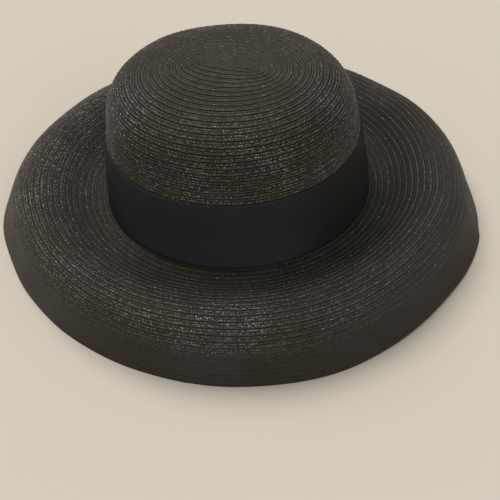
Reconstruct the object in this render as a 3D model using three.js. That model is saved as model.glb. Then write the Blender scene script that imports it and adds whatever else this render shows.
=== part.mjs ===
// Wide straw hat of sewn braid with a plain ribbon round its crown.
// Millimetres, +Z up. The hat stands on its brim edge, and the long axis of the head oval lies along X.
import * as THREE from "three";

// Head hollow at the base of the crown, inside the straw.
const headLength = 189;
const headWidth = 167;

const crownHeight = 103.5; // from the base of the crown to its tip
const crownLeanSide = 1.5; // how far the soft tip leans towards +X
const crownLeanBack = 2; // and towards +Y
const crownWall = 2;

const brimReach = 79; // from the crown's base out to the brim's edge, level
const brimRise = 13; // from the crown's base up to the ridge of the brim
const brimDrop = 43.5; // from the ridge down to the edge
const brimWall = 2;

const ribbonWidth = 53;
const ribbonThickness = 1;
const ribbonLapAngle = 102; // middle of the lapped end, counted from +X towards +Y
const ribbonLapLength = 26;

const seamGap = 0.3; // clearance between pieces that lie on each other

const stepsAround = 72;
const crownSteps = 15;
const brimSteps = 14;
const ribbonSteps = 4;

// The crown's outline from its base to its tip.
// up is a share of crownHeight, out a share of the half width of the crown at its base.
const crownSections = [
  { up: 0, out: 1 },
  { up: 0.157, out: 0.988 },
  { up: 0.311, out: 0.96 },
  { up: 0.466, out: 0.931 },
  { up: 0.621, out: 0.898 },
  { up: 0.772, out: 0.858 },
  { up: 0.899, out: 0.754 },
  { up: 0.967, out: 0.572 },
  { up: 0.988, out: 0.384 },
  { up: 0.997, out: 0.19 },
  { up: 1, out: 0 },
];

// The brim's outline from the crown to its edge: up to the ridge, then steeply down.
// out is a share of brimReach, rise of brimRise and drop of brimDrop.
const brimSections = [
  { out: 0, rise: 0, drop: 0 },
  { out: 0.137, rise: 0.08, drop: 0 },
  { out: 0.268, rise: 0.33, drop: 0 },
  { out: 0.393, rise: 0.67, drop: 0 },
  { out: 0.524, rise: 0.94, drop: 0 },
  { out: 0.66, rise: 1, drop: 0 },
  { out: 0.784, rise: 1, drop: 0.095 },
  { out: 0.866, rise: 1, drop: 0.295 },
  { out: 0.912, rise: 1, drop: 0.53 },
  { out: 0.955, rise: 1, drop: 0.765 },
  { out: 1, rise: 1, drop: 1 },
];

// Gentle waves of the brim, full at its edge: at is an angle in degrees from +X towards +Y.
// out is a share of brimReach, lift a share of brimDrop: the edge rests wherever lift is 0.
const brimWaves = [
  { at: 0, out: 0.035, lift: 0 },
  { at: 30, out: -0.02, lift: 0.03 },
  { at: 60, out: -0.085, lift: 0 },
  { at: 90, out: -0.065, lift: 0 },
  { at: 120, out: 0.002, lift: 0 },
  { at: 150, out: 0.085, lift: 0.035 },
  { at: 180, out: 0.165, lift: 0 },
  { at: 210, out: 0.008, lift: 0.025 },
  { at: 240, out: -0.06, lift: 0 },
  { at: 270, out: -0.056, lift: 0 },
  { at: 300, out: -0.01, lift: 0 },
  { at: 330, out: -0.012, lift: 0.035 },
  { at: 355, out: 0.055, lift: 0.01 },
];
const waveSpread = 1.5; // how late along the brim its waves set in

const strawMaterial = new THREE.MeshStandardMaterial({
  color: 0x39342f,
  roughness: 0.45,
  metalness: 0,
});
const ribbonMaterial = new THREE.MeshStandardMaterial({
  color: 0x16171c,
  roughness: 0.6,
  metalness: 0,
});

// Half the long axis less half the short one, the same for every oval section of the hat.
const ovalCore = (headLength - headWidth) / 2;
const crownHalfWidth = headWidth / 2 + crownWall;
const brimBase = brimDrop - brimRise; // height of the brim where it meets the crown
const crownBase = brimBase + seamGap;

// Outlines are curves in the plane of half width (x) and height (y).
function outline(points) {
  const curve = new THREE.CatmullRomCurve3(
    points.map(([halfWidth, height]) => new THREE.Vector3(halfWidth, height, 0)),
    false,
    "centripetal",
  );
  curve.arcLengthDivisions = 400;
  return curve;
}

// The point at a share of the outline's length, moved sideways by offset (left of the way along is positive).
function outlinePoint(curve, share, offset) {
  const point = curve.getPointAt(share);
  const along = curve.getTangentAt(share);
  return [point.x - along.y * offset, point.y + along.x * offset];
}

const crownOutline = outline(
  crownSections.map((row) => [row.out * crownHalfWidth, crownBase + row.up * crownHeight]),
);
const brimOutline = outline([
  [crownHalfWidth - crownWall, brimBase],
  ...brimSections.map((row) => [
    crownHalfWidth + row.out * brimReach,
    brimBase + row.rise * brimRise - row.drop * brimDrop,
  ]),
]);

// One oval section: all of them are drawn out along X by the same core length.
function ovalRing(halfWidth, height, angles, shift = () => ({ out: 0, lift: 0 })) {
  const up = Math.max(0, (height - crownBase) / crownHeight);
  return angles.map((angle) => {
    const { out, lift } = shift(angle);
    return new THREE.Vector3(
      (halfWidth + out + ovalCore) * Math.cos(angle) + up * crownLeanSide,
      (halfWidth + out) * Math.sin(angle) + up * crownLeanBack,
      height + lift,
    );
  });
}

function evenAngles(count) {
  return Array.from({ length: count }, (_, i) => (i * 2 * Math.PI) / count);
}

// Joins each ring to the next one. A ring of no half width lies on the core line and closes the skin there.
function skin(rings) {
  const corners = [];
  for (let r = 0; r + 1 < rings.length; r++) {
    const near = rings[r];
    const far = rings[r + 1];
    for (let i = 0; i < near.length; i++) {
      const j = (i + 1) % near.length;
      corners.push(near[i], near[j], far[j], near[i], far[j], far[i]);
    }
  }
  const geometry = new THREE.BufferGeometry().setFromPoints(corners);
  geometry.computeVertexNormals();
  return geometry;
}

// The same for a section that closes on itself.
function loopedSkin(rings) {
  return skin([...rings, rings[0]]);
}

// Waves between two table rows: out runs on smoothly, lift eases from row to row and is never under 0.
function waveRow(index) {
  const turns = Math.floor(index / brimWaves.length);
  const row = brimWaves[index - turns * brimWaves.length];
  return { ...row, at: row.at + turns * 360 };
}
function waveAt(angle) {
  const degrees = THREE.MathUtils.radToDeg(angle);
  const index = brimWaves.findLastIndex((row) => row.at <= degrees);
  const [before, start, end, after] = [-1, 0, 1, 2].map((step) => waveRow(index + step));
  const span = end.at - start.at;
  const place = (degrees - start.at) / span;
  const ease = place * place * (3 - 2 * place);
  const startSlope = ((end.out - before.out) / (end.at - before.at)) * span;
  const endSlope = ((after.out - start.out) / (after.at - start.at)) * span;
  const out =
    THREE.MathUtils.lerp(start.out, end.out, ease) +
    startSlope * place * (1 - place) ** 2 -
    endSlope * place ** 2 * (1 - place);
  return { out: out * brimReach, lift: THREE.MathUtils.lerp(start.lift, end.lift, ease) * brimDrop };
}

// The crown is one open shell: down its inside from the tip, round its foot and up its outside to the tip.
function makeCrown() {
  const angles = evenAngles(stepsAround);
  const wallRing = (step, offset) => {
    const [halfWidth, height] = outlinePoint(crownOutline, step / crownSteps, offset);
    return ovalRing(step === crownSteps ? 0 : halfWidth, height, angles);
  };
  const rings = [];
  for (let step = crownSteps; step > 0; step--) rings.push(wallRing(step, crownWall));
  rings.push(ovalRing(crownHalfWidth - crownWall, crownBase, angles));
  for (let step = 0; step <= crownSteps; step++) rings.push(wallRing(step, 0));
  return new THREE.Mesh(skin(rings), strawMaterial);
}

// The brim is a closed section carried round: out along its top, and back along its underside.
function makeBrim() {
  const angles = evenAngles(stepsAround);
  const edgeSlope = Math.abs(brimOutline.getTangentAt(1).y);
  const [edgeHalfWidth, edgeHeight] = outlinePoint(brimOutline, 1, 0);
  const waves = (share) => (angle) => {
    const weight = share ** waveSpread;
    const { out, lift } = waveAt(angle);
    return { out: out * weight, lift: lift * weight };
  };
  const rings = [];
  for (let i = 0; i <= brimSteps; i++) {
    const share = i / brimSteps;
    const [halfWidth, height] = outlinePoint(brimOutline, share, 0);
    rings.push(ovalRing(halfWidth, height, angles, waves(share)));
  }
  // The edge is cut level, so the hat has a flat rim to stand on.
  rings.push(ovalRing(edgeHalfWidth - brimWall / edgeSlope, edgeHeight, angles, waves(1)));
  for (let i = brimSteps - 1; i > 0; i--) {
    const share = i / brimSteps;
    const [halfWidth, height] = outlinePoint(brimOutline, share, -brimWall);
    rings.push(ovalRing(halfWidth, height, angles, waves(share)));
  }
  rings.push(ovalRing(crownHalfWidth - crownWall, brimBase - brimWall, angles));
  return new THREE.Mesh(loopedSkin(rings.reverse()), strawMaterial);
}

// The ribbon hugs the foot of the crown. Its end laps over its start.
function makeRibbon() {
  const lapHalf = ribbonLapLength / 2 / (crownHalfWidth + ovalCore / 2);
  const lapMiddle = THREE.MathUtils.degToRad(ribbonLapAngle);
  const lapEdge = 0.1 / crownHalfWidth;
  const inLap = (angle) => Math.abs(angle - lapMiddle) <= lapHalf;
  const angles = evenAngles(stepsAround)
    .filter((angle) => Math.abs(Math.abs(angle - lapMiddle) - lapHalf) > 0.02)
    .concat([-1, 1].flatMap((side) => [lapMiddle + side * lapHalf, lapMiddle + side * (lapHalf + lapEdge)]))
    .sort((a, b) => a - b);
  const lap = (angle) => ({ out: inLap(angle) ? ribbonThickness : 0, lift: 0 });
  const length = crownOutline.getLength();
  const foot = seamGap / length;
  const rings = [];
  for (let i = 0; i <= ribbonSteps; i++) {
    const share = foot + (ribbonWidth / length) * (i / ribbonSteps);
    rings.push(ovalRing(...outlinePoint(crownOutline, share, -seamGap - ribbonThickness), angles, lap));
  }
  for (let i = ribbonSteps; i >= 0; i--) {
    const share = foot + (ribbonWidth / length) * (i / ribbonSteps);
    rings.push(ovalRing(...outlinePoint(crownOutline, share, -seamGap), angles));
  }
  return new THREE.Mesh(loopedSkin(rings), ribbonMaterial);
}

const pieces = { crown: makeCrown(), brim: makeBrim(), ribbon: makeRibbon() };
const hat = new THREE.Group();
for (const [name, mesh] of Object.entries(pieces)) {
  mesh.name = name;
  hat.add(mesh);
}

// The hat stands on Z = 0 with the middle of its outline over the origin.
const outer = new THREE.Box3().setFromObject(hat, true);
const middle = outer.getCenter(new THREE.Vector3());
hat.position.set(-middle.x, -middle.y, -outer.min.z);

export default hat;
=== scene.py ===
# Wide hat of sewn straw braid with a plain ribbon round its crown.
# The frame is in metres. Lengths in the dictionaries are in millimetres, angles in degrees.
import math

import bmesh
import bpy
import numpy as np
from mathutils import Matrix, Vector


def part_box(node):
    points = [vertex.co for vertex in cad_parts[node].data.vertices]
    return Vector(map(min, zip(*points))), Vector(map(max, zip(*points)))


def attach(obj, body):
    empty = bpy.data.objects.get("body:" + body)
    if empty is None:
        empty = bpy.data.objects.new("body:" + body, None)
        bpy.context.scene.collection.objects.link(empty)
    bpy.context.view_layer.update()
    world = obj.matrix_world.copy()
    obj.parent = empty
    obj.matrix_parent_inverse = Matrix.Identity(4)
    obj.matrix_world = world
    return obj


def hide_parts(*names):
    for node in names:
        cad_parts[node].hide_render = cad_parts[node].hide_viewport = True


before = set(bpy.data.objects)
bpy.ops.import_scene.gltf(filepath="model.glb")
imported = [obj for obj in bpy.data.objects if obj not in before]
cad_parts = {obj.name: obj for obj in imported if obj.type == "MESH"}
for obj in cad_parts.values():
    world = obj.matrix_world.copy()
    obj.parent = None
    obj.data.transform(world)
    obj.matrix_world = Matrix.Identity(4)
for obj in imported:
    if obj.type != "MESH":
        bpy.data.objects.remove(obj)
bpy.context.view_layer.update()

mm = 0.001

camera = {
    "place": (127.9, -478.9, 498.0),
    "target": (29.2, -83.5, 50.0),
    "roll": -6.64,            # the picture's right side goes up
    "lens": 65.65,
    "sensor": 36.0,
    "clipFrom": 10,
}


def makeCamera():
    place = Vector(camera["place"]) * mm
    forward = (Vector(camera["target"]) * mm - place).normalized()
    levelRight = forward.cross(Vector((0, 0, 1))).normalized()
    levelUp = levelRight.cross(forward)
    roll = math.radians(camera["roll"])
    right = levelRight * math.cos(roll) + levelUp * math.sin(roll)
    up = right.cross(forward)
    data = bpy.data.cameras.new("camera")
    data.lens = camera["lens"]
    data.sensor_width = camera["sensor"]
    data.clip_start = camera["clipFrom"] * mm
    obj = bpy.data.objects.new("camera", data)
    turned = Matrix((right, up, -forward)).transposed().to_4x4()
    obj.matrix_world = Matrix.Translation(place) @ turned
    bpy.context.scene.collection.objects.link(obj)
    bpy.context.scene.camera = obj


makeCamera()
print("camera placed")

# The hat's form. up is a share of the crown's height and out of its half width at the foot.
hatForm = {
    "headLength": 189, "headWidth": 167, "wall": 2, "seamGap": 0.3, "ribbonWidth": 53,
    "crownHeight": 103.5, "leanSide": 1.5, "leanBack": 2,
    "crownUp": (0, 0.157, 0.311, 0.466, 0.621, 0.772, 0.899, 0.967, 0.988, 0.997, 1),
    "crownOut": (1, 0.988, 0.96, 0.931, 0.898, 0.858, 0.754, 0.572, 0.384, 0.19, 0),
    "brimReach": 79, "brimRise": 13, "brimDrop": 43.5,
    # out is a share of brimReach, rise of brimRise and drop of brimDrop
    "brimOut": (0, 0.137, 0.268, 0.393, 0.524, 0.66, 0.784, 0.866, 0.912, 0.955, 1),
    "brimUp": (0, 0.08, 0.33, 0.67, 0.94, 1, 1, 1, 1, 1, 1),
    "brimDown": (0, 0, 0, 0, 0, 0, 0.095, 0.295, 0.53, 0.765, 1),
    # waves of the brim, full at its edge: angle from +X, share of brimReach out, share of brimDrop up
    "waveAt": (0, 30, 60, 90, 120, 150, 180, 210, 240, 270, 300, 330, 355),
    "waveOut": (0.035, -0.02, -0.085, -0.065, 0.002, 0.085, 0.165, 0.008, -0.06, -0.056,
                -0.01, -0.012, 0.055),
    "waveUp": (0, 0.03, 0, 0, 0, 0.035, 0, 0.025, 0, 0, 0, 0.035, 0.01),
    "waveSpread": 1.5,        # how late along the brim its waves set in
}
ovalCore = (hatForm["headLength"] - hatForm["headWidth"]) / 2
footHalfWidth = hatForm["headWidth"] / 2 + hatForm["wall"]
brimBase = hatForm["brimDrop"] - hatForm["brimRise"]
crownBase = brimBase + hatForm["seamGap"]
crownCorners = np.array(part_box("crown"))
middleX, middleY = (crownCorners[0] + crownCorners[1])[:2] / 2 / mm


# A smooth curve through a few sections, with the length along it and its direction.
def makeOutline(halfWidths, heights):
    points = np.column_stack([halfWidths, heights])
    padded = np.vstack([2 * points[0] - points[1], points, 2 * points[-1] - points[-2]])
    t = np.linspace(0, 1, 60, endpoint=False)[:, None]
    spans = []
    for a, b, c, d in zip(padded, padded[1:], padded[2:], padded[3:]):
        before, here, after = (math.sqrt(np.linalg.norm(step)) for step in (b - a, c - b, d - c))
        leave = ((b - a) / before - (c - a) / (before + here) + (c - b) / here) * here
        arrive = ((c - b) / here - (d - b) / (here + after) + (d - c) / after) * here
        spans.append(b + leave * t + (3 * (c - b) - 2 * leave - arrive) * t ** 2
                     + (2 * (b - c) + leave + arrive) * t ** 3)
    points = np.vstack(spans + [points[-1:]])
    along = np.concatenate([[0], np.cumsum(np.linalg.norm(np.diff(points, axis=0), axis=1))])
    direction = np.gradient(points, along, axis=0)
    direction /= np.linalg.norm(direction, axis=1)[:, None]
    return {"points": points, "along": along, "direction": direction, "length": along[-1]}


crownHeights = crownBase + np.array(hatForm["crownUp"]) * hatForm["crownHeight"]
crownHalfWidths = footHalfWidth * np.array(hatForm["crownOut"])
crownOutline = makeOutline(crownHalfWidths[::-1], crownHeights[::-1])
brimHalfWidths = footHalfWidth + np.array(hatForm["brimOut"]) * hatForm["brimReach"]
brimHeights = brimBase + np.array(hatForm["brimUp"]) * hatForm["brimRise"]
brimHeights = brimHeights - np.array(hatForm["brimDown"]) * hatForm["brimDrop"]
brimOutline = makeOutline(np.concatenate([[footHalfWidth - hatForm["wall"]], brimHalfWidths]),
                          np.concatenate([[brimBase], brimHeights]))


# How far the brim's edge waves out and up at each angle, in millimetres.
def brimWaves(angle):
    at = np.array(hatForm["waveAt"], dtype=float)
    degrees = np.degrees(angle) % 360
    row = np.searchsorted(at, degrees, side="right") - 1
    count = len(at)

    def place(step):
        return at[(row + step) % count] + 360 * ((row + step) // count)

    span = place(1) - place(0)
    t = (degrees - place(0)) / span
    ease = t * t * (3 - 2 * t)
    out = np.array(hatForm["waveOut"])[(row[..., None] + np.array([-1, 0, 1, 2])) % count]
    slopeStart = (out[..., 2] - out[..., 0]) / (place(1) - place(-1)) * span
    slopeEnd = (out[..., 3] - out[..., 1]) / (place(2) - place(0)) * span
    outward = out[..., 1] + (out[..., 2] - out[..., 1]) * ease
    outward = outward + slopeStart * t * (1 - t) ** 2 - slopeEnd * t ** 2 * (1 - t)
    up = np.array(hatForm["waveUp"])[(row[..., None] + np.array([0, 1])) % count]
    upward = up[..., 0] + (up[..., 1] - up[..., 0]) * ease
    return outward * hatForm["brimReach"], upward * hatForm["brimDrop"]


# The first rows lie round a core line that is longer than the oval's and turned a little.
rowCore = {"longer": 7.5, "turn": -8, "fadeTo": 62, "fadePower": 1.5}


# Level place of a row round the crown: the longer core fades out towards the shoulder.
def rowPlace(halfWidth, angle):
    fade = np.clip(1 - halfWidth / rowCore["fadeTo"], 0, 1) ** rowCore["fadePower"]
    x = (halfWidth + ovalCore + rowCore["longer"] * fade) * np.cos(angle)
    y = halfWidth * np.sin(angle)
    turn = np.radians(rowCore["turn"]) * fade
    return x * np.cos(turn) - y * np.sin(turn), x * np.sin(turn) + y * np.cos(turn), fade


# Half width of the crown's oval section through a level place, found by halving.
def ovalThrough(x, y):
    low, high = 0 * x, np.hypot(x, y) + 1
    for _ in range(30):
        middle = (low + high) / 2
        outside = (x / (middle + ovalCore)) ** 2 + (y / middle) ** 2 > 1
        low, high = np.where(outside, middle, low), np.where(outside, high, middle)
    return (low + high) / 2


# Places in the frame: along an outline, at an angle round the oval, and lifted off the surface.
def placeOn(outline, along, angle, lift, waves=False):
    reach = np.clip(along, 0, outline["length"])
    halfWidth = np.interp(reach, outline["along"], outline["points"][:, 0])
    if not waves:
        x, y, fade = rowPlace(halfWidth, angle)
        section = np.where(fade > 0, ovalThrough(x, y), halfWidth)
        reach = np.where(fade > 0, np.interp(section, outline["points"][:, 0], outline["along"]), reach)
    height, dx, dz = (np.interp(reach, outline["along"], row) for row in
                      (outline["points"][:, 1], *outline["direction"].T))
    halfWidth = np.where(halfWidth > 1e-6, np.maximum(halfWidth - dz * lift, 0), 0)
    height = np.maximum(height + dx * lift, 0)
    if waves:
        weight = (reach / outline["length"]) ** hatForm["waveSpread"]
        out, rise = brimWaves(angle)
        height = height + rise * weight
        x = (halfWidth + out * weight + ovalCore) * np.cos(angle) + middleX
        y = (halfWidth + out * weight) * np.sin(angle) + middleY
    else:
        up = np.clip((height - crownBase) / hatForm["crownHeight"], 0, None)
        x, y, _ = rowPlace(halfWidth, angle)
        x = x + up * hatForm["leanSide"] + middleX
        y = y + up * hatForm["leanBack"] + middleY
    return np.stack(np.broadcast_arrays(x, y, height), axis=-1) * mm


# Slow unevenness between about -1 and 1 over the angle and the length along an outline.
def unevenness(seed, angle, along, around=(1, 6), wavelength=(40, 120), count=6):
    rng = np.random.default_rng(seed)
    total = 0
    for _ in range(count):
        turns = int(rng.integers(*around))
        pace = 2 * math.pi / rng.uniform(*wavelength)
        side = rng.choice([-1, 1])
        start = rng.uniform(0, 2 * math.pi)
        total = total + np.sin(turns * angle + side * pace * along + start)
    return total / math.sqrt(count)


# From 0 at one share of an outline's length to 1 at another.
def rampShare(outline, along, start, end):
    return np.clip((along / outline["length"] - start) / (end - start), 0, 1)


# Soft dents and bulges by place, so that two points that meet always move alike.
def swell(outline, along, angle, shape, waves):
    along = np.clip(along, 0, outline["length"])
    places = placeOn(outline, along, angle, 0 * along, waves) / mm
    rng = np.random.default_rng(shape["seed"])
    total = 0
    for _ in range(shape["bulges"]):
        heading = rng.normal(0, 1, 3)
        heading /= np.linalg.norm(heading)
        pace = 2 * math.pi / rng.uniform(*shape["bulgeSize"])
        total = total + np.sin(places @ heading * pace + rng.uniform(0, 2 * math.pi))
    fade = rampShare(outline, along, *shape["swellFrom"])
    return shape["swell"] * fade * total / math.sqrt(shape["bulges"])


def newObject(name, vertices, faces, uv=None, outward=None, smooth=True):
    mesh = bpy.data.meshes.new(name)
    mesh.from_pydata(vertices.tolist(), [], faces.tolist())
    if uv is not None:
        layer = mesh.uv_layers.new(name="braid")
        layer.data.foreach_set("uv", uv.astype(np.float32).ravel())
    if outward is not None:
        shares = mesh.attributes.new("outward", "FLOAT", "POINT")
        shares.data.foreach_set("value", outward.astype(np.float32).ravel())
    mesh.polygons.foreach_set("use_smooth", np.full(len(mesh.polygons), smooth))
    obj = bpy.data.objects.new(name, mesh)
    bpy.context.scene.collection.objects.link(obj)
    return obj


# Welds points that share a place, which also closes the ends of a skin.
def weld(obj, distance=2e-6):
    work = bmesh.new()
    work.from_mesh(obj.data)
    bmesh.ops.remove_doubles(work, verts=work.verts, dist=distance)
    loose = [v for v in work.verts if not v.link_faces]
    bmesh.ops.delete(work, geom=loose, context="VERTS")
    openEdges = sum(not e.is_manifold for e in work.edges)
    work.to_mesh(obj.data)
    work.free()
    return openEdges


braid = {
    "pitch": 4.42,            # from row to row
    # one row from its neighbour's edge out to its own free edge: share of the pitch, lift off the solid
    "outside": ((-0.02, -0.8), (0.07, -0.42), (0.26, -0.1), (0.6, 0.02), (0.88, 0.02), (0.99, -0.22)),
    "inside": ((0.0, -2.0), (0.93, -1.5)),
    "dropShare": 1.1,         # where the step down to the next row ends on the plait
    # how far the rows wander from their even spacing, in how many waves round and over what length
    "wander": 0.16, "wanderTurns": (2, 9), "wanderLength": (9, 30),
    "lengthSteps": 6000,      # how finely the length along the spiral is measured
    "seed": 21,
}


# Where the spiral runs: a turn is one row, and each turn moves out by the pitch.
def spiralAlong(turn, angle, share):
    along = (turn + share + angle / (2 * math.pi)) * braid["pitch"]
    wander = unevenness(braid["seed"], angle, along, braid["wanderTurns"], braid["wanderLength"])
    return along + braid["wander"] * wander


# Length along the braid in millimetres, at a number of turns from its start.
def braidLength(outline, turn, waves):
    table = np.linspace(-1, outline["length"] / braid["pitch"] + 1, braid["lengthSteps"])
    angle = table * 2 * math.pi
    places = placeOn(outline, (table + 0.5) * braid["pitch"], angle, np.zeros_like(table), waves)
    run = np.concatenate([[0], np.cumsum(np.linalg.norm(np.diff(places, axis=0), axis=1))]) / mm
    return np.interp(turn, table, run)


# One side of the sewn shell as a grid over a spiral, with its ends clamped to the outline's ends.
def spiralGrid(outline, profile, shape, waves, inside):
    columns = shape["columns"]
    steps = len(profile)
    shares = np.array([share for share, _ in profile])
    lifts = np.array([lift for _, lift in profile])
    running = np.arange(-steps, (int(outline["length"] / braid["pitch"]) + 2) * steps)
    turn = running // steps
    step = running % steps
    angle = np.arange(columns + 1)[None, :] * 2 * math.pi / columns
    along = spiralAlong(turn[:, None], angle, shares[step][:, None])
    lift = lifts[step][:, None]
    if not inside:
        amount, calmStart, calmEnd = shape["calm"]
        lift = lift * shape["relief"] * (1 - amount * rampShare(outline, along, calmStart, calmEnd))
    lift = np.where((along <= 0) | (along >= outline["length"]), shape["endLift"][inside], lift)
    lift = lift + swell(outline, along, angle + 0 * along, shape, waves)
    vertices = placeOn(outline, along, angle + 0 * along, lift, waves)
    index = np.arange(along.size).reshape(along.shape)
    near, far = index[:-1], index[1:]
    corners = [near[:, :-1], far[:, :-1], far[:, 1:], near[:, 1:]]
    run = braidLength(outline, turn[:-1, None] + angle / (2 * math.pi), waves)
    acrossNear = shares[step[:-1]][:, None] + 0 * run
    acrossFar = np.where(step[1:] == 0, braid["dropShare"], shares[step[1:]])[:, None] + 0 * run
    uv = [np.stack([run[:, a:columns + a], across[:, a:columns + a]], -1)
          for a, across in ((0, acrossNear), (0, acrossFar), (1, acrossFar), (1, acrossNear))]
    if inside:
        corners.reverse()
        uv.reverse()
    faces = np.stack(corners, -1).reshape(-1, 4)
    outward = np.clip(along / outline["length"], 0, 1).ravel()
    return {"vertices": vertices.reshape(-1, 3), "faces": faces, "uv": np.stack(uv, -2).reshape(-1, 2),
            "outward": outward, "start": vertices[0], "end": vertices[-1]}


# A shell of two sides, joined by a strip at its rim and, on the brim, at its start too.
def makeShell(name, outline, shape, waves):
    outer = spiralGrid(outline, braid["outside"], shape, waves, False)
    inner = spiralGrid(outline, braid["inside"], shape, waves, True)
    vertices = np.vstack([outer["vertices"], inner["vertices"]])
    faces = np.vstack([outer["faces"], inner["faces"] + len(outer["vertices"])])
    uv = np.vstack([outer["uv"], inner["uv"]])
    outward = np.concatenate([outer["outward"], inner["outward"]])
    strips = [(outer["end"], inner["end"], 1.0)]
    if waves:
        strips.append((inner["start"], outer["start"], 0.0))
    for top, under, share in strips:
        count = len(top)
        i = np.arange(count - 1)
        faces = np.vstack([faces, len(vertices) + np.stack([i, i + count, i + count + 1, i + 1], -1)])
        vertices = np.vstack([vertices, top, under])
        uv = np.vstack([uv, np.tile([0.0, 0.5], (4 * len(i), 1))])
        outward = np.concatenate([outward, np.full(2 * count, share)])
    obj = newObject(name, vertices, faces, uv, outward)
    openEdges = weld(obj)
    print(name, len(obj.data.polygons), "faces", openEdges, "open edges")
    return obj


crownShape = {
    "columns": 316,
    "endLift": (-0.4, -1.6),  # outside and inside, where the shell ends
    "swell": 0.45, "swellFrom": (0.64, 0.5), "bulges": 7, "bulgeSize": (45, 110),
    "relief": 0.74,           # depth of the rows against the profile above
    "calm": (0, 0.9, 1),      # how much flatter the rows get, and between which shares of the outline
    "sewnTo": 0.69,           # the last stitch, as a share of the outline: the rest is under the ribbon
    "seed": 4,
}
brimShape = {
    "columns": 456,
    "endLift": (-0.3, -1.7),
    "swell": 0.5, "swellFrom": (0.1, 0.4), "bulges": 9, "bulgeSize": (50, 130),
    "relief": 0.54,
    "calm": (0.66, 0.6, 0.76),
    "sewnTo": 1.0,
    "seed": 9,
}
crownShell = makeShell("crown_braid", crownOutline, crownShape, False)
brimShell = makeShell("brim_braid", brimOutline, brimShape, True)

stitching = {
    "share": 0.8,             # across the row, near its free edge
    "spacing": 3.6, "length": 2.1, "width": 0.4, "height": 0.34,
    "stand": 0.1,             # how far a stitch stands off the straw
    "jitter": 0.35,           # how unevenly they follow each other, as a share of the spacing
    "skew": 0.12, "sizes": (0.85, 1.15),
    "firstTurn": 0.1,
    "lengthSteps": 8000,
    "seed": 31,
}


# Short stitches of the sewing thread, one after another along every row.
def makeStitches(name, outline, shape, waves):
    rng = np.random.default_rng(stitching["seed"])
    lastTurn = outline["length"] * shape["sewnTo"] / braid["pitch"] - 1
    turns = np.linspace(stitching["firstTurn"], lastTurn, stitching["lengthSteps"])
    run = braidLength(outline, turns, waves)
    count = int((run[-1] - run[0]) / stitching["spacing"])
    drift = rng.uniform(-1, 1, count) * stitching["jitter"] / 2
    turn = np.interp(run[0] + (np.arange(count) + drift) * stitching["spacing"], run, turns)

    def onBraid(turn, lift):
        angle = (turn % 1) * 2 * math.pi
        along = spiralAlong(np.floor(turn), angle, stitching["share"])
        return placeOn(outline, along, angle, lift + swell(outline, along, angle, shape, waves), waves)

    middle = onBraid(turn, stitching["stand"])
    step = 0.5 / np.interp(turn, turns, np.gradient(run, turns))   # half a millimetre, in turns
    forward = onBraid(turn + step, stitching["stand"]) - onBraid(turn - step, stitching["stand"])
    forward /= np.linalg.norm(forward, axis=1)[:, None]
    up = onBraid(turn, stitching["stand"] + 1) - middle
    up /= np.linalg.norm(up, axis=1)[:, None]
    side = np.cross(up, forward)
    forward = forward + side * rng.normal(0, stitching["skew"], count)[:, None]
    size = rng.uniform(*stitching["sizes"], count)[:, None] * mm / 2
    reach = forward * size * stitching["length"]
    wide = side * size * stitching["width"]
    high = up * size * stitching["height"]
    corners = np.stack([middle - reach, middle + wide, middle + high, middle - wide, middle - high,
                        middle + reach], axis=1)
    sides = np.array([(0, 2, 1), (0, 3, 2), (0, 4, 3), (0, 1, 4),
                      (5, 1, 2), (5, 2, 3), (5, 3, 4), (5, 4, 1)])
    faces = (np.arange(count)[:, None, None] * corners.shape[1] + sides).reshape(-1, 3)
    outward = turn * braid["pitch"] / outline["length"]
    obj = newObject(name, corners.reshape(-1, 3), faces, outward=np.repeat(outward, corners.shape[1]))
    print(name, count, "stitches")
    return obj


crownStitches = makeStitches("crown_stitches", crownOutline, crownShape, False)
brimStitches = makeStitches("brim_stitches", brimOutline, brimShape, True)

ribbon = {
    "gap": 0.13,              # between the straw and the ribbon
    "thickness": 0.38,
    "selvedge": 0.1, "selvedgeSharp": 40,   # the woven edge is a little thicker
    "lapAngle": 102, "lapLength": 26, "lapRamp": 14, "lapGap": 0.2,
    # how far the upper edge stands off in places, from which share up, and in how many waves round
    "stand": 0.08, "standFrom": 0.6, "standTurns": (2, 8),
    "edgeWander": 0.25, "edgeTurns": (2, 7),   # how far the upper edge runs up and down
    "rowPrint": 0.05,         # how far the rows of straw show through
    # slow looseness over the straw
    "ease": 0.12, "easeTurns": (3, 12), "easeLength": (60, 200), "easeLimits": (-0.02, 0.5),
    "roundOver": 0.14,        # how far its edges round out
    "columns": 420, "rows": 22,
    "seed": 12,
}


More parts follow.
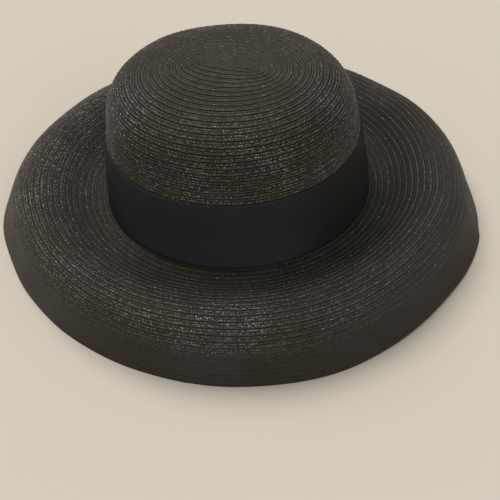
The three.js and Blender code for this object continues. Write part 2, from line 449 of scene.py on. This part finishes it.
# The ribbon starts under its own lap, goes once round and ends on top of its start.
def makeRibbon():
    footRadius = footHalfWidth + ovalCore / 2
    lapHalf = ribbon["lapLength"] / 2 / footRadius
    turned = np.linspace(0, 2 * math.pi + 2 * lapHalf, ribbon["columns"])[:, None]
    angle = math.radians(ribbon["lapAngle"]) - lapHalf + turned
    beforeLap = 2 * math.pi - ribbon["lapRamp"] / footRadius
    climb = np.clip((turned - beforeLap) / (2 * math.pi - beforeLap), 0, 1)
    climb = climb * climb * (3 - 2 * climb) * (ribbon["thickness"] + ribbon["lapGap"])
    share = np.linspace(0, 1, ribbon["rows"])[None, :]
    still = 0 * angle
    easy = 0.5 + 0.5 * np.clip(unevenness(ribbon["seed"], angle, still, ribbon["standTurns"]), -1, 1)
    upper = np.clip((share - ribbon["standFrom"]) / (1 - ribbon["standFrom"]), 0, 1)
    loose = ribbon["stand"] * upper ** 2 * easy
    along = crownOutline["length"] - hatForm["seamGap"] - share * hatForm["ribbonWidth"]
    wander = unevenness(ribbon["seed"] + 1, angle, still, ribbon["edgeTurns"])
    along = along + ribbon["edgeWander"] * wander * share
    rows = along / braid["pitch"] - angle / (2 * math.pi)
    printed = ribbon["rowPrint"] * np.cos(2 * math.pi * rows)
    eased = unevenness(ribbon["seed"] + 2, angle, along, ribbon["easeTurns"], ribbon["easeLength"])
    edge = ribbon["selvedge"] * np.exp(-(share * (1 - share) * ribbon["selvedgeSharp"]) ** 2)
    inner = ribbon["gap"] + climb + loose
    inner = inner + np.clip(printed + ribbon["ease"] * eased, *ribbon["easeLimits"])
    outer = inner + ribbon["thickness"] + edge
    angles = angle + 0 * along
    outerSide = placeOn(crownOutline, along, angles, outer)
    innerSide = placeOn(crownOutline, along[:, ::-1], angles, inner[:, ::-1])
    halfway = (inner + outer) / 2
    foot = placeOn(crownOutline, along[:, :1] + ribbon["roundOver"], angle, halfway[:, :1])
    top = placeOn(crownOutline, along[:, -1:] - ribbon["roundOver"], angle, halfway[:, -1:])
    ring = np.concatenate([outerSide, top, innerSide, foot], axis=1)
    around = ring.shape[1]
    index = np.arange(ring.shape[0] * around).reshape(-1, around)
    nextIndex = np.roll(index, -1, axis=1)
    faces = np.stack([index[:-1], index[1:], nextIndex[1:], nextIndex[:-1]], -1).reshape(-1, 4)
    width = np.concatenate([share[0], [1.0], share[0, ::-1], [0.0]])[None, :] * hatForm["ribbonWidth"]
    run = angle * footRadius + 0 * width
    uv = [np.stack([part, np.roll(width, turn, axis=1) + 0 * part], -1)
          for part, turn in ((run[:-1], 0), (run[1:], 0), (run[1:], -1), (run[:-1], -1))]
    obj = newObject("ribbon_band", ring.reshape(-1, 3), faces, np.stack(uv, -2).reshape(-1, 2))
    work = bmesh.new()
    work.from_mesh(obj.data)
    bmesh.ops.holes_fill(work, edges=[e for e in work.edges if e.is_boundary])
    bmesh.ops.recalc_face_normals(work, faces=work.faces)
    work.to_mesh(obj.data)
    work.free()
    middle = outerSide[:, ribbon["rows"] // 2]
    length = float(np.linalg.norm(np.diff(middle, axis=0), axis=1).sum())
    print("ribbon", len(obj.data.polygons), "faces", round(length / mm), "mm long")
    return obj, length


ribbonBand, ribbonLength = makeRibbon()


# Shorthand for wiring nodes. Wherever it takes a value, it also takes another node's socket.
class Desk:
    def __init__(self, tree):
        self.tree = tree

    def node(self, kind, **settings):
        made = self.tree.nodes.new(kind)
        for name, value in settings.items():
            setattr(made, name, value)
        return made

    def set(self, socket, value):
        if isinstance(value, bpy.types.NodeSocket):
            self.tree.links.new(value, socket)
        else:
            socket.default_value = value

    def calc(self, operation, *values):
        made = self.node("ShaderNodeMath", operation=operation)
        for socket, value in zip(made.inputs, values):
            self.set(socket, value)
        return made.outputs[0]

    def span(self, value, low, high, lowTo=0.0, highTo=1.0):
        made = self.node("ShaderNodeMapRange", interpolation_type="SMOOTHSTEP")
        for socket, item in zip(made.inputs, (value, low, high, lowTo, highTo)):
            self.set(socket, item)
        return made.outputs[0]

    def blend(self, amount, first, second):
        made = self.node("ShaderNodeMix", data_type="RGBA")
        for socket, item in zip((made.inputs[0], made.inputs[6], made.inputs[7]), (amount, first, second)):
            self.set(socket, item)
        return made.outputs[2]

    def noise(self, vector, scale, detail, roughness):
        made = self.node("ShaderNodeTexNoise")
        self.set(made.inputs["Vector"], vector)
        self.set(made.inputs["Scale"], scale)
        self.set(made.inputs["Detail"], detail)
        self.set(made.inputs["Roughness"], roughness)
        return made.outputs["Fac"]


def newGroup(name, inputs, outputs):
    group = bpy.data.node_groups.new(name, "ShaderNodeTree")
    for label, kind in inputs:
        group.interface.new_socket(name=label, in_out="INPUT", socket_type=kind)
    for label, kind in outputs:
        group.interface.new_socket(name=label, in_out="OUTPUT", socket_type=kind)
    desk = Desk(group)
    return group, desk, desk.node("NodeGroupInput").outputs, desk.node("NodeGroupOutput").inputs


number, vector3 = "NodeSocketFloat", "NodeSocketVector"

# Pairs and fours are ranges: from and to, and the values there where they aren't 0 and 1.
plaitForm = {
    "humpPower": 2.5, "dipUnder": 0.9, "dipOver": 0.35,   # how a straw falls off at its edges
    # lines of painted glints, bright flecks that stand in for light reflected off the straws: share across
    # the row, how far they stray, a number of their own, how rare they are
    "glintLines": ((0.27, 0.08, 0.0, 1.7), (0.64, 0.1, 571.5, 1.7)), "lineStrength": 0.8,
    # painted sparks: a rarer line of brighter painted glints
    "sparks": (0.5, 0.4, 1093.7, 9.0), "sparkStrength": 1.2,
    "glintWidth": 0.075, "glintLength": 0.27, "glintDrift": (0.0, 1.0, 0.38, 0.62),
    "glintFade": (0.35, 1.2, 1.0, 0.0),
    # painted shade: dark lines in the joints at both edges of a row, and in the weak crease along its
    # middle
    "innerEdge": (-0.02, 0.15), "outerEdge": (0.93, 1.02, 1.0, 0.0),
    "creaseAt": 0.47, "crease": (0.02, 0.1, 0.35, 1.0),
    # the outermost straw of each row folds over; its fold is painted lighter in a line of short dashes, a
    # painted highlight where the edge catches the light
    "foldStart": (0.74, 0.82), "foldEnd": (0.9, 0.96, 1.0, 0.0),
    "dashGap": (0.02, 0.16, 0.35, 1.0), "dashPower": 1.5, "dashStrength": (0.0, 1.0, 0.35, 1.0),
}


# The plait of flat straws in each row, from the length along the braid and the share across it.
def makePlaitGroup():
    group, desk, given, out = newGroup(
        "strawPlait",
        [("Braid", vector3), ("Strand", number), ("Row Width", number), ("Tilt", number), ("Dash", number),
         ("Dot", number)],
        [("Height", number), ("Straw", number), ("Glint", number), ("Groove", number), ("Edge", number)])
    form = plaitForm
    parts = desk.node("ShaderNodeSeparateXYZ")
    desk.set(parts.inputs[0], given["Braid"])
    length, share = parts.outputs[0], parts.outputs[1]
    run = desk.calc("DIVIDE", length, given["Strand"])
    width = desk.calc("DIVIDE", desk.calc("MULTIPLY", share, given["Row Width"]), given["Strand"])
    left = desk.calc("ADD", run, width)
    right = desk.calc("SUBTRACT", run, width)
    cellLeft = desk.calc("FLOOR", left)
    cellRight = desk.calc("FLOOR", right)
    placeLeft = desk.calc("SUBTRACT", left, cellLeft)
    placeRight = desk.calc("SUBTRACT", right, cellRight)
    parity = desk.calc("PINGPONG", desk.calc("ADD", cellLeft, cellRight), 1.0)

    def hump(place, depth):
        centred = desk.calc("SUBTRACT", desk.calc("MULTIPLY", place, 2.0), 1.0)
        edge = desk.calc("POWER", desk.calc("ABSOLUTE", centred), form["humpPower"])
        return desk.calc("SUBTRACT", 1.0, desk.calc("MULTIPLY", edge, depth))

    def lean(tone, place):
        return desk.calc("MULTIPLY", desk.calc("SUBTRACT", tone, 0.5), desk.calc("SUBTRACT", place, 0.5))

    over = desk.calc("MULTIPLY", hump(placeRight, form["dipUnder"]), hump(placeLeft, form["dipOver"]))
    under = desk.calc("MULTIPLY", hump(placeLeft, form["dipUnder"]), hump(placeRight, form["dipOver"]))
    woven = desk.calc("ADD", desk.calc("MULTIPLY", over, parity),
                      desk.calc("MULTIPLY", under, desk.calc("SUBTRACT", 1.0, parity)))
    cell = desk.node("ShaderNodeCombineXYZ")
    desk.set(cell.inputs[0], cellLeft)
    desk.set(cell.inputs[1], cellRight)
    chance = desk.node("ShaderNodeTexWhiteNoise", noise_dimensions="3D")
    desk.set(chance.inputs["Vector"], cell.outputs[0])
    tones = desk.node("ShaderNodeSeparateColor")
    desk.set(tones.inputs[0], chance.outputs["Color"])
    leaning = desk.calc("ADD", lean(tones.outputs[0], placeLeft), lean(tones.outputs[1], placeRight))
    desk.set(out["Height"], desk.calc("ADD", woven, desk.calc("MULTIPLY", leaning, given["Tilt"])))
    desk.set(out["Straw"], tones.outputs[2])

    # one line of painted glints along the row, each of its own place and strength
    def glints(across, stray, salt, rareness):
        cells = desk.calc("ADD", desk.calc("DIVIDE", length, given["Dot"]), salt)
        own = desk.node("ShaderNodeTexWhiteNoise", noise_dimensions="1D")
        desk.set(own.inputs["W"], desk.calc("FLOOR", cells))
        draws = desk.node("ShaderNodeSeparateColor")
        desk.set(draws.inputs[0], own.outputs["Color"])
        sideways = desk.calc("MULTIPLY", desk.calc("SUBTRACT", draws.outputs[0], 0.5), stray)
        away = desk.calc("SUBTRACT", desk.calc("SUBTRACT", share, across), sideways)
        away = desk.calc("DIVIDE", away, form["glintWidth"])
        middle = desk.span(draws.outputs[1], *form["glintDrift"])
        onward = desk.calc("SUBTRACT", desk.calc("FRACT", cells), middle)
        onward = desk.calc("DIVIDE", onward, form["glintLength"])
        far = desk.calc("ADD", desk.calc("MULTIPLY", away, away), desk.calc("MULTIPLY", onward, onward))
        strength = desk.calc("POWER", draws.outputs[2], rareness)
        return desk.calc("MULTIPLY", desk.span(far, *form["glintFade"]), strength)

    first, second = form["glintLines"]
    lines = desk.calc("MULTIPLY", desk.calc("ADD", glints(*first), glints(*second)), form["lineStrength"])
    sparks = desk.calc("MULTIPLY", glints(*form["sparks"]), form["sparkStrength"])
    desk.set(out["Glint"], desk.calc("ADD", lines, sparks))
    # painted shade in the joints between rows and in the crease along each row
    inner = desk.span(share, *form["innerEdge"])
    outer = desk.span(share, *form["outerEdge"])
    aside = desk.calc("ABSOLUTE", desk.calc("SUBTRACT", share, form["creaseAt"]))
    crease = desk.span(aside, *form["crease"])
    bare = desk.calc("MULTIPLY", desk.calc("MULTIPLY", inner, outer), crease)
    desk.set(out["Groove"], desk.calc("SUBTRACT", 1.0, bare))
    # painted highlight in short dashes along each row's fold
    dashes = desk.calc("DIVIDE", length, given["Dash"])
    dashOwn = desk.node("ShaderNodeTexWhiteNoise", noise_dimensions="1D")
    desk.set(dashOwn.inputs["W"], desk.calc("FLOOR", dashes))
    gap = desk.span(desk.calc("PINGPONG", dashes, 0.5), *form["dashGap"])
    strength = desk.calc("POWER", dashOwn.outputs["Value"], form["dashPower"])
    lit = desk.calc("MULTIPLY", gap, desk.span(strength, *form["dashStrength"]))
    fold = desk.calc("MULTIPLY", desk.span(share, *form["foldStart"]), desk.span(share, *form["foldEnd"]))
    desk.set(out["Edge"], desk.calc("MULTIPLY", fold, lit))
    return group


toneForm = {"patch": (3.0, 0.55), "grain": (2.0, 0.6)}   # detail and roughness of the noise


# Slow changes of tone over the whole hat, and a fine grain.
def makeToneGroup():
    group, desk, given, out = newGroup(
        "softTone", [("Place", vector3), ("Patch Scale", number), ("Grain Scale", number)],
        [("Patch", number), ("Grain", number)])
    desk.set(out["Patch"], desk.noise(given["Place"], given["Patch Scale"], *toneForm["patch"]))
    desk.set(out["Grain"], desk.noise(given["Place"], given["Grain Scale"], *toneForm["grain"]))
    return group


plaitGroup = makePlaitGroup()
toneGroup = makeToneGroup()


def newMaterial(name):
    material = bpy.data.materials.new(name)
    material.use_nodes = True
    tree = material.node_tree
    tree.nodes.clear()
    desk = Desk(tree)
    shader = desk.node("ShaderNodeBsdfPrincipled")
    output = desk.node("ShaderNodeOutputMaterial")
    desk.set(output.inputs["Surface"], shader.outputs[0])
    return material, desk, shader.inputs


def placeGroup(desk, group, values):
    made = desk.node("ShaderNodeGroup", node_tree=group)
    for name, value in values.items():
        desk.set(made.inputs[name], value)
    return made.outputs


def placeTone(desk, place, scales):
    values = {"Place": place, "Patch Scale": scales[0], "Grain Scale": scales[1]}
    return placeGroup(desk, toneGroup, values)


def placeBump(desk, shader, height, strength, depth):
    bump = desk.node("ShaderNodeBump")
    bump.inputs["Strength"].default_value = strength
    bump.inputs["Distance"].default_value = depth * mm
    desk.set(bump.inputs["Height"], height)
    desk.set(shader["Normal"], bump.outputs[0])


strawLook = {
    "dark": (0.0155, 0.0124, 0.0086, 1), "light": (0.0535, 0.0446, 0.0336, 1),
    "blue": (0.033, 0.0355, 0.041, 1), "green": (0.033, 0.036, 0.030, 1),
    # painted glints: bright warm and cool flecks in the base colour
    "warmGlint": (0.85, 0.78, 0.66, 1), "coolGlint": (0.74, 0.79, 0.86, 1),
    # painted highlight along each row's fold, and painted shade in the joints between rows
    "edge": (0.135, 0.122, 0.104, 1), "paintedGrooveShade": (0.002, 0.0018, 0.0015, 1),
    "strand": 1.05, "dash": 2.3, "dot": 1.5,   # width of a straw, length of a dash, spacing of the glints
    "tilt": 1.0,              # how unevenly the straws lie
    "toneScales": (22.0, 1400.0), "coolScales": (11.0, 40.0),   # patches and grain of the two tones
    "strawShare": 0.4, "patchShare": 0.6,      # what makes a straw light or dark
    "blueToGreen": (0.4, 0.6), "coolness": (0.42, 0.66, 0.0, 0.55),
    # painted glints, stronger in some patches than in others
    "glintPatches": (0.38, 0.6, 0.42, 1.0),
    "edgeByGlints": (0.1, 0.5, 0.12, 0.9),     # where glints are rare, so are the light edges
    # painted glints fade towards the +X end
    "paintedGlintFade": (0.05, 0.14, 1.0, 0.25),           # weaker glints towards the +X end: X in metres
    "rough": 0.33, "roughByStraw": 0.2, "roughByGroove": 0.3,
    "specular": 0.12,
    "bump": 0.24, "bumpStrength": 1.0, "grainShare": 0.15,
}
even = (0.0, 1.0, 1.0, 1.0)   # no change
# How the straw's painted glints, painted light and shade and painted groove shade change from the first
# row (0) to the last (1): two shares, and the values there.
crownZones = {
    "rise": (0.22, 0.42, 0.3, 1.0), "fall": even,                        # glints
    # painted light and shade: lighter or darker from row to row
    "inner": (0.1, 0.42, 1.42, 0.94), "outer": (0.52, 0.68, 1.0, 1.24),  # lightness
    "paintedGrooveShade": (0.9, 1.0, 0.85, 0.85),
    # painted side light, painted glints and painted edge highlights towards the -X end: two places along X
    # in metres
    "paintedSideLight": even, "paintedSideGlints": even, "paintedSideEdgeHighlight": even,
}
brimZones = {
    "rise": (0.22, 0.54, 0.28, 0.78), "fall": (0.64, 0.84, 1.0, 0.12),
    # painted light and shade: lighter or darker from row to row
    "inner": (0.0, 0.3, 1.4, 1.0), "outer": (0.3, 0.85, 0.6, 1.26),
    "paintedGrooveShade": (0.6, 0.76, 0.4, 0.27),
    # painted side light, more painted glints and fewer painted edge highlights towards the -X end
    "paintedSideLight": (-0.12, -0.04, 1.2, 1.0),
    "paintedSideGlints": (-0.13, -0.04, 1.5, 1.0),
    "paintedSideEdgeHighlight": (-0.13, -0.04, 0.4, 1.0),
}


def makeStraw(name, look, zones):
    material, desk, shader = newMaterial(name)
    braidMap = desk.node("ShaderNodeUVMap", uv_map="braid")
    outward = desk.node("ShaderNodeAttribute", attribute_name="outward").outputs["Fac"]
    place = desk.node("ShaderNodeTexCoord").outputs["Object"]
    plait = placeGroup(desk, plaitGroup, {
        "Braid": braidMap.outputs[0], "Strand": look["strand"], "Row Width": braid["pitch"],
        "Tilt": look["tilt"], "Dash": look["dash"], "Dot": look["dot"]})
    tone = placeTone(desk, place, look["toneScales"])
    depth = desk.calc("ADD", desk.calc("MULTIPLY", plait["Straw"], look["strawShare"]),
                      desk.calc("MULTIPLY", tone["Patch"], look["patchShare"]))
    colour = desk.blend(depth, look["dark"], look["light"])
    cool = placeTone(desk, place, look["coolScales"])
    coolTone = desk.blend(desk.span(cool["Grain"], *look["blueToGreen"]), look["blue"], look["green"])
    colour = desk.blend(desk.span(cool["Patch"], *look["coolness"]), colour, coolTone)
    sideways = desk.node("ShaderNodeSeparateXYZ")
    desk.set(sideways.inputs[0], place)
    endwise = sideways.outputs[0]
    # painted light and shade: lighter or darker by row and towards the -X end
    paintedLightAndShade = desk.calc("MULTIPLY", desk.span(outward, *zones["inner"]),
                          desk.span(outward, *zones["outer"]))
    paintedLightAndShade = desk.calc("MULTIPLY", paintedLightAndShade, desk.span(endwise, *zones["paintedSideLight"]))
    scaled = desk.node("ShaderNodeVectorMath", operation="SCALE")
    desk.set(scaled.inputs[0], colour)
    desk.set(scaled.inputs["Scale"], paintedLightAndShade)
    # painted glints: where along the rows, in which patches and towards which end
    zone = desk.calc("MULTIPLY", desk.span(outward, *zones["rise"]), desk.span(outward, *zones["fall"]))
    patches = desk.calc("MULTIPLY", desk.span(tone["Patch"], *look["glintPatches"]), zone)
    patches = desk.calc("MULTIPLY", patches, desk.span(endwise, *look["paintedGlintFade"]))
    patches = desk.calc("MULTIPLY", patches, desk.span(endwise, *zones["paintedSideGlints"]))
    # painted edge highlights, fewer where the painted glints are rare and towards the -X end
    paintedEdgeHighlight = desk.calc("MULTIPLY", plait["Edge"], desk.span(zone, *look["edgeByGlints"]))
    paintedEdgeHighlight = desk.calc("MULTIPLY", paintedEdgeHighlight, desk.span(endwise, *zones["paintedSideEdgeHighlight"]))
    colour = desk.blend(paintedEdgeHighlight, scaled.outputs[0], look["edge"])
    # painted glints: warm or cool bright flecks mixed into the base colour
    glint = desk.blend(plait["Straw"], look["warmGlint"], look["coolGlint"])
    colour = desk.blend(desk.calc("MULTIPLY", plait["Glint"], patches), colour, glint)
    # painted groove shade: near black in the joints between rows
    paintedGrooveShade = desk.calc("MULTIPLY", plait["Groove"], desk.span(outward, *zones["paintedGrooveShade"]))
    colour = desk.blend(paintedGrooveShade, colour, look["paintedGrooveShade"])
    desk.set(shader["Base Color"], colour)
    rough = desk.calc("ADD", look["rough"], desk.calc("MULTIPLY", plait["Straw"], look["roughByStraw"]))
    rough = desk.calc("ADD", rough, desk.calc("MULTIPLY", paintedGrooveShade, look["roughByGroove"]))
    desk.set(shader["Roughness"], rough)
    shader["Specular IOR Level"].default_value = look["specular"]
    height = desk.calc("ADD", plait["Height"], desk.calc("MULTIPLY", tone["Grain"], look["grainShare"]))
    placeBump(desk, shader, height, look["bumpStrength"], look["bump"])
    return material


threadLook = {
    "dark": (0.035, 0.03, 0.024, 1), "light": (0.5, 0.47, 0.42, 1),
    "toneScales": (260.0, 2600.0),
    # painted highlight: here and there a stitch is coloured light
    "lightPatches": (0.52, 0.68),   # only here and there does a stitch catch the light
    "rough": 0.3, "roughByGrain": 0.2,
    "bump": 0.1, "bumpStrength": 0.5,
}


def makeThread(name, look, zones):
    material, desk, shader = newMaterial(name)
    place = desk.node("ShaderNodeTexCoord").outputs["Object"]
    outward = desk.node("ShaderNodeAttribute", attribute_name="outward").outputs["Fac"]
    tone = placeTone(desk, place, look["toneScales"])
    # painted highlight on a stitch here and there, fewer on the brim's outer zone
    paintedThreadHighlight = desk.calc("MULTIPLY", desk.span(tone["Patch"], *look["lightPatches"]),
                     desk.span(outward, *zones["fall"]))
    desk.set(shader["Base Color"], desk.blend(paintedThreadHighlight, look["dark"], look["light"]))
    rough = desk.calc("ADD", look["rough"], desk.calc("MULTIPLY", tone["Grain"], look["roughByGrain"]))
    desk.set(shader["Roughness"], rough)
    placeBump(desk, shader, tone["Grain"], look["bumpStrength"], look["bump"])
    return material


ribbonLook = {
    "dark": (0.0198, 0.0206, 0.0248, 1), "light": (0.0244, 0.0253, 0.0304, 1),
    "toneScales": (28.0, 1800.0),
    # painted sheen: the colour turns lighter towards its lower edge
    "foot": (0.042, 0.0432, 0.05, 1), "footSheenReach": 36,   # the sheen near its lower edge
    # painted shade: darker and browner towards the hat's ends: two places along X in metres, and how much
    "side": (0.0165, 0.0145, 0.0122, 1), "endShadeShare": (0.045, 0.086, 0.0, 0.85),
    "ribEvery": 0.5,          # fine cross ribs of the weave
    "rough": 0.55, "roughByPatch": 0.14,
    "specular": 0.12,
    "bump": 0.05, "bumpStrength": 0.6,
}


def makeSatin(name, look):
    material, desk, shader = newMaterial(name)
    place = desk.node("ShaderNodeTexCoord").outputs["Object"]
    tone = placeTone(desk, place, look["toneScales"])
    weave = desk.node("ShaderNodeSeparateXYZ")
    desk.set(weave.inputs[0], desk.node("ShaderNodeUVMap", uv_map="braid").outputs[0])
    ribs = desk.calc("SINE", desk.calc("MULTIPLY", weave.outputs[0], 2 * math.pi / look["ribEvery"]))
    colour = desk.blend(tone["Patch"], look["dark"], look["light"])
    # painted sheen towards the lower edge
    foot = desk.span(weave.outputs[1], 0.0, look["footSheenReach"], 1.0, 0.0)
    colour = desk.blend(foot, colour, look["foot"])
    sideways = desk.node("ShaderNodeSeparateXYZ")
    desk.set(sideways.inputs[0], place)
    # painted shade towards the hat's ends
    ends = desk.span(desk.calc("ABSOLUTE", sideways.outputs[0]), *look["endShadeShare"])
    desk.set(shader["Base Color"], desk.blend(ends, colour, look["side"]))
    rough = desk.calc("ADD", look["rough"], desk.calc("MULTIPLY", tone["Patch"], look["roughByPatch"]))
    desk.set(shader["Roughness"], rough)
    shader["Specular IOR Level"].default_value = look["specular"]
    placeBump(desk, shader, desk.calc("ADD", ribs, tone["Grain"]), look["bumpStrength"], look["bump"])
    return material


crownShell.data.materials.append(makeStraw("crownStraw", strawLook, crownZones))
brimShell.data.materials.append(makeStraw("brimStraw", strawLook, brimZones))
crownStitches.data.materials.append(makeThread("crownThread", threadLook, crownZones))
brimStitches.data.materials.append(makeThread("brimThread", threadLook, brimZones))
ribbonBand.data.materials.append(makeSatin("ribbonSatin", ribbonLook))
print("materials made")

studio = {
    "floorSize": 6000,
    "floor": (0.575, 0.535, 0.475, 1), "floorRough": 0.9,
    "world": (1.0, 0.97, 0.925, 1), "worldStrength": 0.45,
    "lightColour": (1.0, 0.965, 0.91),
    # where it shines from, how wide it looks in degrees and how strong it is
    "lights": {
        "skyLight": ((-600, 750, 1500), 40, 2.3),
        "frontLight": ((900, -850, 900), 30, 0.54),
    },
}


def makeStudio():
    half = studio["floorSize"] / 2
    corners = np.array([(-half, -half, 0), (half, -half, 0), (half, half, 0), (-half, half, 0)]) * mm
    floor = newObject("floor", corners, np.array([(0, 1, 2, 3)]), smooth=False)
    material, _, shader = newMaterial("paleFloor")
    shader["Base Color"].default_value = studio["floor"]
    shader["Roughness"].default_value = studio["floorRough"]
    floor.data.materials.append(material)
    for name, (place, width, strength) in studio["lights"].items():
        data = bpy.data.lights.new(name, "SUN")
        data.angle = math.radians(width)
        data.energy = strength
        data.color = studio["lightColour"]
        obj = bpy.data.objects.new(name, data)
        obj.location = Vector(place) * mm
        obj.rotation_euler = (-obj.location).to_track_quat("-Z", "Y").to_euler()
        bpy.context.scene.collection.objects.link(obj)
    world = bpy.data.worlds.new("studio")
    world.use_nodes = True
    background = world.node_tree.nodes["Background"]
    background.inputs[0].default_value = studio["world"]
    background.inputs[1].default_value = studio["worldStrength"]
    bpy.context.scene.world = world
    bpy.context.scene.view_settings.view_transform = "Standard"


makeStudio()
print("studio lit")

for piece in (crownShell, brimShell, crownStitches, brimStitches, ribbonBand):
    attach(piece, "root")
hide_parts("crown")
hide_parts("brim")
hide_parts("ribbon")
